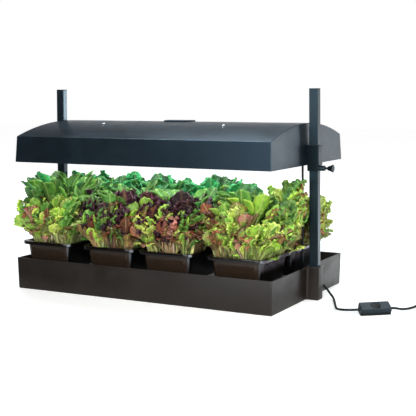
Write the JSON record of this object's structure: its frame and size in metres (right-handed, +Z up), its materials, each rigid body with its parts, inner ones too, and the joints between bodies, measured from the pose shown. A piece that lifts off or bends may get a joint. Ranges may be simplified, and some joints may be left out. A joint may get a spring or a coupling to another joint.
{
  "type": "led grow light garden",
  "caption": "Indoor LED grow light garden: reservoir base, planting trays of salad greens, and an arched lamp hood that slides on posts and is held by thumbscrews.",
  "frame": {"origin": "centre of the base tray's underside", "axes": "+X along the length towards the end with the mains cord, +Z up, -Y the front"},
  "size_m": [1.0332, 0.405, 0.468],
  "materials": {
    "base_tray": "fine textured charcoal",
    "grow_deck": "black moulded",
    "capillary_mat": "dark felt",
    "grow_tray": "thin gloss black",
    "potting_mix": "dark fibrous compost",
    "salad_greens": "living leaves",
    "post": "satin slate powder coat",
    "post_cap": "slate plastic",
    "cord_grip": "black rubber",
    "cord": "black cord sheath",
    "switch_base": "slate plastic",
    "switch_cover": "slate plastic",
    "switch_rocker": "gloss dark grey",
    "switch_screws": "plated",
    "coil_tie": "black strap",
    "plug_body": "black moulded",
    "plug_blades": "plain brass",
    "hood_shell": "slate powder coat with fine orange peel",
    "crest_pad": "slate plastic",
    "collar": "slate plastic",
    "collar_screws": "plated",
    "led_bar": "satin anodised",
    "led_board": "white board",
    "lamp_lens": "frosted lens",
    "bar_end_caps": "light grey",
    "bar_brackets": "light grey",
    "dome_screws": "polished domes",
    "lamp_driver": "light grey case",
    "bar_leads": "grey sheath",
    "clamp_stud": "blackened steel",
    "clamp_knob": "dark grey knob"
  },
  "bodies": {
    "base": {"base_tray": "base_tray", "grow_deck": "grow_deck", "capillary_mat": "capillary_mat", "grow_tray_1": "grow_tray", "grow_tray_2": "grow_tray", "grow_tray_3": "grow_tray", "grow_tray_4": "grow_tray", "grow_tray_5": "grow_tray", "grow_tray_6": "grow_tray", "grow_tray_7": "grow_tray", "grow_tray_8": "grow_tray", "potting_mix": "potting_mix", "salad_greens_1": "salad_greens", "salad_greens_2": "salad_greens", "salad_greens_3": "salad_greens", "salad_greens_4": "salad_greens", "salad_greens_5": "salad_greens", "salad_greens_6": "salad_greens", "salad_greens_7": "salad_greens", "salad_greens_8": "salad_greens", "post_left": "post", "post_right": "post", "post_cap_left": "post_cap", "post_cap_right": "post_cap", "cord_grip": "cord_grip", "lamp_lead": "cord", "lead_drop": "cord", "cord_to_switch": "cord", "switch_base": "switch_base", "switch_cover": "switch_cover", "switch_screws": "switch_screws", "cord_to_coil": "cord", "cord_coil": "cord", "coil_tie": "coil_tie", "plug_body": "plug_body", "plug_blades": "plug_blades"},
    "rocker": {"switch_rocker": "switch_rocker"},
    "hood": {"hood_shell": "hood_shell", "crest_pad": "crest_pad", "collar_left": "collar", "collar_right": "collar", "collar_screws": "collar_screws", "led_bar_front": "led_bar", "led_bar_rear": "led_bar", "led_board_front": "led_board", "led_board_rear": "led_board", "lamp_lens_front": "lamp_lens", "lamp_lens_rear": "lamp_lens", "bar_end_caps": "bar_end_caps", "bar_brackets": "bar_brackets", "dome_screws": "dome_screws", "lamp_driver": "lamp_driver", "bar_leads": "bar_leads"},
    "stud_left": {"clamp_stud_left": "clamp_stud"},
    "stud_right": {"clamp_stud_right": "clamp_stud"},
    "knob_left": {"clamp_knob_left": "clamp_knob"},
    "knob_right": {"clamp_knob_right": "clamp_knob"}
  },
  "joints": [
    {"name": "hood_slide", "type": "slide", "parent": "base", "child": "hood", "axis": [0, 0, 1], "range_m": [-0.02, 0.12], "deforming": ["lead_drop"]},
    {"name": "stud_slide_right", "type": "slide", "parent": "hood", "child": "stud_right", "axis": [1, 0, 0], "range_m": [0, 0.00158]},
    {"name": "knob_turn_right", "type": "hinge", "parent": "stud_right", "child": "knob_right", "pos_m": [0.38, 0, 0.292], "axis": [1, 0, 0], "range_deg": [0, 720]},
    {"name": "stud_slide_left", "type": "slide", "parent": "hood", "child": "stud_left", "axis": [-1, 0, 0], "range_m": [0, 0.00158]},
    {"name": "knob_turn_left", "type": "hinge", "parent": "stud_left", "child": "knob_left", "pos_m": [-0.38, 0, 0.292], "axis": [-1, 0, 0], "range_deg": [0, 720]},
    {"name": "rocker_tip", "type": "hinge", "parent": "base", "child": "rocker", "pos_m": [0.51048, -0.08335, 0.01606], "axis": [-0.5717, 0.706, 0.4179], "range_deg": [0, 16]}
  ],
  "couplings": [
    {"joint": "knob_turn_right", "follows": "stud_slide_right", "rad_per_m": 7874},
    {"joint": "knob_turn_left", "follows": "stud_slide_left", "rad_per_m": 7874}
  ]
}
